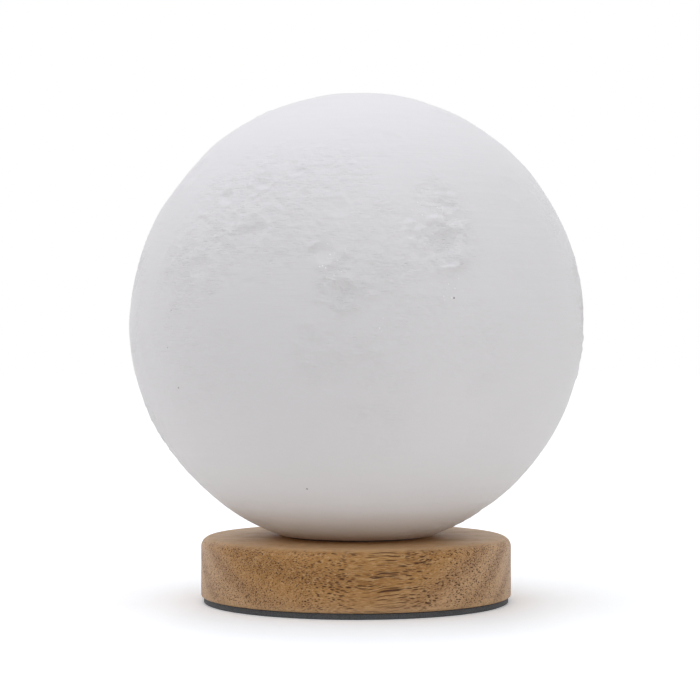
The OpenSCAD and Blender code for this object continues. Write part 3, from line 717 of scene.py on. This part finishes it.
def moulded(name, colour, gloss, texture=0.03, scale=3.0, **constants):
    """Moulded plastic with the fine texture of its mould."""
    n = new_nodes(name)
    place = n.place()
    grain = n.noise(place, scale, 4.0, 0.6)
    cloud = n.noise(place, 0.12, 2.0)
    shade = n.mix(cloud, colour, darker(colour, 0.9))
    inputs = {"Base Color": shade, "Roughness": gloss - 0.06 + 0.12 * grain}
    for socket, value in constants.items():
        inputs[socket.replace("_", " ")] = value
    return n.surface(inputs, grain, texture)


def metal(name, colour, gloss, pull=(1.0, 1.0, 1.0), scale=2.0, depth=0.01):
    """Metal or plating; pull stretches its fine scratches along one way."""
    n = new_nodes(name)
    place = n.place()
    scratch = n.noise(place.stretched(pull), scale, 4.0, 0.6)
    cloud = n.noise(place, 0.2, 2.0)
    shade = n.mix(cloud, colour, darker(colour, 0.85))
    rough = gloss + 0.14 * scratch
    inputs = {"Base Color": shade, "Roughness": rough, "Metallic": 1.0}
    return n.surface(inputs, scratch, depth)


def felted(name, colour):
    """Felt or foam tape: short fibres lying every way."""
    n = new_nodes(name)
    place = n.place()
    bend = n.noise(place, 0.6, 2.0, output="Color")
    strands = n.noise(place.moved(bend.stretched((4.0, 4.0, 4.0))), 3.5, 4.0, 0.7)
    shade = n.mix(strands.smooth(0.3, 0.7), darker(colour, 0.7), colour)
    inputs = {"Base Color": shade, "Roughness": 0.95, "Sheen Weight": 0.3}
    return n.surface(inputs, strands, depth=0.12)


def circuit_board(name, colour, trace_colour):
    """Solder mask over copper: traces show as paler lines with square turns."""
    n = new_nodes(name)
    place = n.place()
    flat = place.stretched((1.0, 1.0, 0.0))
    line = (n.cells(flat, 0.42, distance="CHEBYCHEV") * 9.0).fraction()
    trace = line.smooth(0.42, 0.5) * (1.0 - line.smooth(0.78, 0.86))
    cloud = n.noise(place, 0.3, 2.0)
    shade = n.mix(trace * 0.6, n.mix(cloud, colour, darker(colour, 0.8)), trace_colour)
    inputs = {"Base Color": shade, "Roughness": 0.28 + 0.1 * cloud}
    return n.surface(inputs, trace, depth=0.03)


def crinkled_foil(name, colour):
    """Laminate of a pouch cell: soft dents and a satin shine."""
    n = new_nodes(name)
    place = n.place()
    dents = n.noise(place, 0.16, 3.0, 0.55)
    fine = n.noise(place, 1.6, 3.0)
    shade = n.mix(fine, colour, darker(colour, 0.88))
    inputs = {"Base Color": shade, "Roughness": 0.3 + 0.15 * fine, "Metallic": 1.0}
    return n.surface(inputs, dents * 0.9 + fine * 0.1, depth=0.4)


def dress(finish, *names):
    """Gives the packed nodes a finish; their meshes stay as they are."""
    for name in names:
        for slot in frame["nodes"][name].material_slots:
            slot.material = finish


# ------------------------------------------------------------------- settings


def colour_property(name, description, default):
    return FloatVectorProperty(
        name=name,
        description=description,
        default=default,
        size=3,
        min=0.0,
        max=1.0,
        subtype="COLOR",
    )


def share_property(name, description, default, low=0.0, high=1.0):
    return FloatProperty(
        name=name, description=description, default=default, min=low, max=high, subtype="FACTOR"
    )


class GlobeSettings(bpy.types.PropertyGroup):
    """Printed moon globe."""

    wall: FloatProperty(
        name="Wall", description="Thickness of the shell", default=0.0016, unit="LENGTH"
    )
    least_wall: FloatProperty(
        name="Least wall", description="Under the deepest craters", default=0.0003, unit="LENGTH"
    )
    relief: share_property("Relief", "Height of the whole relief", 1.0, 0.0, 2.0)
    fineness: IntProperty(
        name="Fineness",
        description="Faces along each side of the first 20",
        default=92,
        min=8,
        max=96,
    )
    small_craters: IntProperty(
        name="Small craters", description="Craters under 3 mm radius", default=320, min=0
    )
    seed: IntProperty(name="Seed", description="Places the small craters", default=11)
    colour: colour_property("Colour", "Printed plastic", (0.804, 0.808, 0.826))
    speck: colour_property("Specks", "Dust in the plastic", (0.12, 0.11, 0.11))
    # Colour of the painted glints, which stand in for tiny points of light.
    painted_glint: colour_property("Glints", "Bright points of the plastic", WHITE)
    roughness: share_property("Roughness", "Roughness of the plastic", 0.55)
    tint: share_property("Tint", "Tone of the darker streaks over the colour", 0.945)
    # Painted shade on the front middle: its tone over the rest, its middle and its reach.
    painted_front_shade: share_property("Mare tone", "Tone of the greyer plain over the rest", 0.9)
    painted_front_shade_place: FloatVectorProperty(
        name="Mare place", description="Middle of the greyer plain, mm", default=(-24, -71, 84)
    )
    painted_front_shade_reach: FloatVectorProperty(
        name="Mare reach",
        description="Where it begins to fade and ends, mm",
        default=(12, 62),
        size=2,
    )
    # Painted glow: an emission that stands in for daylight through the shell, warm near the foot
    # as a painted bounce of the wood's light.
    painted_glow: share_property("Glow", "Daylight that comes through the thin shell", 0.045)
    painted_glow_colour: colour_property("Glow colour", "Tint of that light", (1.0, 0.93, 0.86))
    painted_wood_bounce: colour_property("Foot glow", "Warm light of the wood", (0.6, 0.22, 0.05))


class WoodSettings(bpy.types.PropertyGroup):
    """Turned base."""

    light_colour: colour_property("Light", "Early wood", (0.6, 0.378, 0.205))
    warm_colour: colour_property("Warm", "Warmer wood", (0.46, 0.235, 0.072))
    ring_colour: colour_property("Rings", "Late wood and fibres", (0.25, 0.11, 0.03))
    pore_colour: colour_property("Pores", "Open pores", (0.072, 0.026, 0.009))
    # Colour of the paler lower edge and of the painted light on the top.
    pale_foot_painted_top_colour: colour_property("Sanded", "Top and lower edge", (0.6, 0.385, 0.2))
    fleck_colour: colour_property("Flecks", "Pale flecks", (0.64, 0.42, 0.2))
    ring_spacing: FloatProperty(
        name="Ring spacing", description="From ring to ring at the axis, mm", default=12.5, min=1.0
    )
    ring_start: FloatProperty(
        name="Ring start", description="Height of one ring at the axis, mm", default=56.0
    )
    pore_share: share_property("Pores", "Share of pores between the rings", 0.48)


class FittingSettings(bpy.types.PropertyGroup):
    """Pad, plates and what is inside the base."""

    pad: colour_property("Pad", "Foam rubber", (0.074, 0.079, 0.084))
    white: colour_property("White parts", "White plastic", SLOT_COLOURS["white_plastic"])
    dark: colour_property("Dark parts", "Dark plastic", SLOT_COLOURS["dark_plastic"])
    steel: colour_property("Steel", "Screws", SLOT_COLOURS["screw_steel"])
    board: colour_property("Board", "Solder mask", SLOT_COLOURS["board_green"])
    trace: colour_property("Traces", "What tints the traces of the board", (0.3, 0.6, 0.2))
    clear: colour_property("Clear parts", "Clear plastic", (0.85, 0.9, 0.9))


class StudioSettings(bpy.types.PropertyGroup):
    """Light, floor and camera."""

    surround: FloatProperty(
        name="Surround", description="Light from all round", default=0.245, min=0.0
    )
    front: FloatProperty(
        name="Front", description="Light added low at the front, or taken away", default=0.02
    )
    right: FloatProperty(
        name="Right", description="Light moved low from left to right", default=0.27, min=0.0
    )
    softbox: FloatProperty(
        name="Softbox", description="Light from the softbox", default=2.2, min=0.0
    )
    softbox_width: FloatProperty(
        name="Softbox width", description="As seen from the lamp", default=1.9, unit="ROTATION"
    )
    softbox_way: FloatVectorProperty(
        name="Softbox way", description="From the lamp to it", default=(-0.17, -0.09, 1.0)
    )
    softbox_colour: colour_property("Softbox colour", "Its light", (0.97, 0.958, 1.0))
    low_sky: colour_property("Low sky", "Light from the sides", (1.0, 1.0, 0.98))
    high_sky: colour_property("High sky", "Light from above", (0.96, 0.95, 1.0))
    floor: colour_property("Floor", "Floor colour", (0.91, 0.895, 0.86))
    floor_white: share_property("Floor white", "Floor's tone in the picture", 1.31, 0.0, 2.0)
    # Painted shadow on the floor before the base: its tone over the rest, its middle and its
    # reach.
    shade: share_property("Shade", "Floor's tone before the base over that elsewhere", 0.89)
    painted_shadow_place: FloatVectorProperty(
        name="Shade place", description="Middle of the greyer floor, mm", default=(0, -55, 0)
    )
    painted_shadow_reach: FloatVectorProperty(
        name="Shade reach",
        description="Where it begins to fade and ends, mm",
        default=(35, 75),
        size=2,
    )
    distance: FloatProperty(
        name="Distance", description="Camera to the axis", default=0.6914, unit="LENGTH"
    )
    height: FloatProperty(
        name="Height", description="Camera above the floor", default=0.08305, unit="LENGTH"
    )
    side: FloatProperty(
        name="Side", description="Camera to the right", default=-0.00199, unit="LENGTH"
    )
    lens: FloatProperty(
        name="Lens", description="Focal length", default=107.2, unit="CAMERA"
    )


# ------------------------------------------------------------------- operators


class MOONLAMP_OT_globe(bpy.types.Operator):
    """Build the printed globe with its craters in place of the plain shell."""

    bl_idname = "moon_lamp.globe"
    bl_label = "Moon globe"

    def execute(self, context):
        settings = context.scene.moon_lamp_globe
        low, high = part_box("moon_globe")
        radius = (high.x - low.x) / 2.0 / MM
        centre_z = high.z / MM - radius
        foot_z = low.z / MM
        mesh = bmesh.new()
        globe_outside(mesh, settings, radius, centre_z, foot_z)
        globe_inside(mesh, settings, radius, centre_z, foot_z)
        close_foot(mesh)
        open_edges = sum(len(edge.link_faces) != 2 for edge in mesh.edges)
        if open_edges:
            raise RuntimeError(f"the globe has {open_edges} open edges")
        piece = finished_mesh("printed_globe", mesh)
        dust = placed(DUST, radius, centre_z)
        painted_glints = placed(PAINTED_GLINTS, radius, centre_z)
        material = printed_plastic(settings, dust, painted_glints, foot_z)
        piece.data.materials.append(material)
        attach(piece, "globe")
        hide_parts("moon_globe")
        return {"FINISHED"}


class MOONLAMP_OT_base(bpy.types.Operator):
    """Finish the turned wood base and the pad under it."""

    bl_idname = "moon_lamp.base"
    bl_label = "Wood base and pad"

    def execute(self, context):
        fittings = context.scene.moon_lamp_fittings
        dress(oiled_wood(context.scene.moon_lamp_wood), "wood_base")
        dress(foam_rubber(fittings.pad), "anti_slip_pad")
        return {"FINISHED"}


class MOONLAMP_OT_back(bpy.types.Operator):
    """Finish the plate at the back with its socket, button and light pipe."""

    bl_idname = "moon_lamp.back"
    bl_label = "Back plate"

    def execute(self, context):
        fittings = context.scene.moon_lamp_fittings
        plate = moulded("dark_textured_plastic", fittings.dark, 0.55, 0.04, 2.6)
        cap = moulded("dark_satin_plastic", towards(fittings.dark, WHITE, 0.03), 0.38)
        clear = moulded("clear_rod", fittings.clear, 0.12, 0.005, Transmission_Weight=0.7)
        dress(plate, "port_plate", "usb_tongue", "bottom_cover")
        dress(cap, "power_button", "switch_plunger", "tact_switch")
        dress(metal("nickel_plate", SLOT_COLOURS["socket_steel"], 0.22), "usb_socket")
        dress(clear, "light_pipe")
        dress(moulded("milky_package", SLOT_COLOURS["charge_light"], 0.35), "charge_light")
        return {"FINISHED"}


class MOONLAMP_OT_light(bpy.types.Operator):
    """Finish the holder, the light and its dome, the collar and the felt."""

    bl_idname = "moon_lamp.light"
    bl_label = "Light"

    def execute(self, context):
        fittings = context.scene.moon_lamp_fittings
        white = moulded("white_plastic", fittings.white, 0.45)
        frosted = moulded(
            "frosted_dome", SLOT_COLOURS["diffuser"], 0.5, 0.02, 4.0, Transmission_Weight=0.3
        )
        gel = moulded("phosphor_gel", SLOT_COLOURS["led_phosphor"], 0.3, 0.02, 6.0)
        dress(white, "globe_collar", "lamp_holder", "light_plug", "cell_plug")
        dress(felted("felt", SLOT_COLOURS["felt"]), "seat_ring")
        dress(frosted, "diffuser_dome")
        dress(moulded("white_solder_mask", SLOT_COLOURS["led_board"], 0.4), "led_board")
        dress(moulded("ivory_package", SLOT_COLOURS["led_package"], 0.35), "led_packages")
        dress(gel, "led_phosphor")
        return {"FINISHED"}


class MOONLAMP_OT_electronics(bpy.types.Operator):
    """Finish the boards, the battery and the leads inside the base."""

    bl_idname = "moon_lamp.electronics"
    bl_label = "Electronics"

    def execute(self, context):
        fittings = context.scene.moon_lamp_fittings
        ivory = moulded("ivory_connector", SLOT_COLOURS["connector"], 0.5)
        trace = towards(fittings.board, fittings.trace, 0.3)
        mask = circuit_board("solder_mask", fittings.board, trace)
        dress(mask, "control_board")
        dress(moulded("black_packages", SLOT_COLOURS["chip_black"], 0.5), "board_chips")
        dress(moulded("tan_ceramic", SLOT_COLOURS["passive"], 0.4), "board_passives")
        dress(moulded("ferrite", SLOT_COLOURS["ferrite"], 0.6, 0.06), "power_inductor")
        dress(ivory, "light_connector", "cell_connector")
        dress(crinkled_foil("pouch_foil", SLOT_COLOURS["cell_foil"]), "battery_cell")
        dress(moulded("amber_film", SLOT_COLOURS["amber_tape"], 0.2), "cell_guard_board")
        dress(felted("foam_tape", SLOT_COLOURS["foam_tape"]), "battery_tape")
        for tone in ("red", "white", "black"):
            skin = moulded(f"{tone}_insulation", SLOT_COLOURS[f"lead_{tone}"], 0.35)
            leads = {f"light_lead_{tone}", f"cell_lead_{tone}"} & set(frame["nodes"])
            dress(skin, *sorted(leads))
        return {"FINISHED"}


class MOONLAMP_OT_screws(bpy.types.Operator):
    """Finish every screw."""

    bl_idname = "moon_lamp.screws"
    bl_label = "Screws"

    def execute(self, context):
        steel = metal("plated_steel", context.scene.moon_lamp_fittings.steel, 0.3)
        names = ("cover_screws", "holder_screws", "led_board_screws", "board_screws")
        dress(steel, *names)
        return {"FINISHED"}


class MOONLAMP_OT_studio(bpy.types.Operator):
    """Add the floor, the soft light and the camera."""

    bl_idname = "moon_lamp.studio"
    bl_label = "Studio"

    def execute(self, context):
        studio = context.scene.moon_lamp_studio
        self.add_floor(studio)
        self.add_sky(context.scene, studio)
        self.add_softbox(context.scene, studio)
        self.add_camera(context.scene, studio)
        return {"FINISHED"}

    @staticmethod
    def seen(nodes):
        """1 for what the camera sees, straight, mirrored or through glass."""
        rays = [
            nodes.add("ShaderNodeLightPath", output=f"Is {kind} Ray")
            for kind in ("Camera", "Glossy", "Transmission")
        ]
        return (rays[0] + rays[1] + rays[2]) > 0.5

    def add_floor(self, studio):
        mesh = bmesh.new()
        bmesh.ops.create_grid(mesh, x_segments=8, y_segments=8, size=FLOOR_REACH)
        floor = finished_mesh("studio_floor", mesh)
        n = new_nodes("floor_paper")
        white = darker(FLOOR_TINT, studio.floor_white)
        # Painted shadow: the floor before the base is painted greyer for the camera, over its real
        # shadow.
        away = n.place().distance(studio.painted_shadow_place).smooth(*studio.painted_shadow_reach)
        white = n.mix(away, darker(white, studio.shade), white)
        tone = n.mix(self.seen(n), tuple(studio.floor), white)
        shader = n.add("ShaderNodeBsdfDiffuse", None, {"Color": tone})
        n.add("ShaderNodeOutputMaterial", None, {"Surface": shader})
        floor.data.materials.append(n.owner)

    def add_sky(self, scene, studio):
        scene.world = bpy.data.worlds.new("studio_sky")
        n = Nodes(scene.world)
        way = n.add("ShaderNodeTexCoord", output="Generated")
        up = way.dot(UP).at_least(0.0)
        side = way.dot((1.0, 0.0, 0.0))
        front = way.dot((0.0, -1.0, 0.0)).at_least(0.0)
        level = studio.surround + (studio.right * side + studio.front * front) * (1.0 - up)
        tone = n.mix(up * up, studio.low_sky, studio.high_sky)
        light = n.add("ShaderNodeBackground", None, {"Color": tone, "Strength": level})
        white = n.add("ShaderNodeBackground", None, {"Strength": 1.0, "Color": WHITE})
        inputs = {0: self.seen(n), 1: light, 2: white}
        shader = n.add("ShaderNodeMixShader", None, inputs)
        n.add("ShaderNodeOutputWorld", None, {"Surface": shader})

    def add_softbox(self, scene, studio):
        lamp = bpy.data.lights.new("softbox", "SUN")
        lamp.angle = studio.softbox_width
        lamp.energy = studio.softbox
        lamp.color = studio.softbox_colour
        box = bpy.data.objects.new("softbox", lamp)
        way = Vector(studio.softbox_way)
        box.location = way
        box.rotation_euler = way.to_track_quat("Z", "Y").to_euler()
        scene.collection.objects.link(box)

    def add_camera(self, scene, studio):
        camera = bpy.data.cameras.new("camera")
        camera.lens = studio.lens
        camera.sensor_width = 36.0
        camera.clip_start, camera.clip_end = 0.01, 50.0
        holder = bpy.data.objects.new("camera", camera)
        holder.location = (studio.side, -studio.distance, studio.height)
        holder.rotation_euler = (math.pi / 2, 0.0, 0.0)
        scene.collection.objects.link(holder)
        scene.camera = holder
        scene.view_settings.view_transform = "Standard"


class MOONLAMP_PT_panel(bpy.types.Panel):
    """Lists the settings and the steps."""

    bl_idname = "MOONLAMP_PT_panel"
    bl_label = "Moon lamp"
    bl_space_type = "VIEW_3D"
    bl_region_type = "UI"
    bl_category = "Moon lamp"

    def draw(self, context):
        for name, group in SETTINGS.items():
            box = self.layout.box()
            box.label(text=group.__doc__)
            for prop in group.__annotations__:
                box.prop(getattr(context.scene, name), prop)
        for step in STEPS:
            self.layout.operator(step.bl_idname)


SETTINGS = {
    "moon_lamp_globe": GlobeSettings,
    "moon_lamp_wood": WoodSettings,
    "moon_lamp_fittings": FittingSettings,
    "moon_lamp_studio": StudioSettings,
}
STEPS = (
    MOONLAMP_OT_globe,
    MOONLAMP_OT_base,
    MOONLAMP_OT_back,
    MOONLAMP_OT_light,
    MOONLAMP_OT_electronics,
    MOONLAMP_OT_screws,
    MOONLAMP_OT_studio,
)
CLASSES = (*SETTINGS.values(), *STEPS, MOONLAMP_PT_panel)


def register():
    for item in CLASSES:
        bpy.utils.register_class(item)
    for name, group in SETTINGS.items():
        setattr(bpy.types.Scene, name, PointerProperty(type=group))


def unregister():
    for name in SETTINGS:
        delattr(bpy.types.Scene, name)
    for item in reversed(CLASSES):
        bpy.utils.unregister_class(item)


def main():
    register()
    for step in STEPS:
        group, name = step.bl_idname.split(".")
        getattr(getattr(bpy.ops, group), name)()


if __name__ == "__main__":
    main()
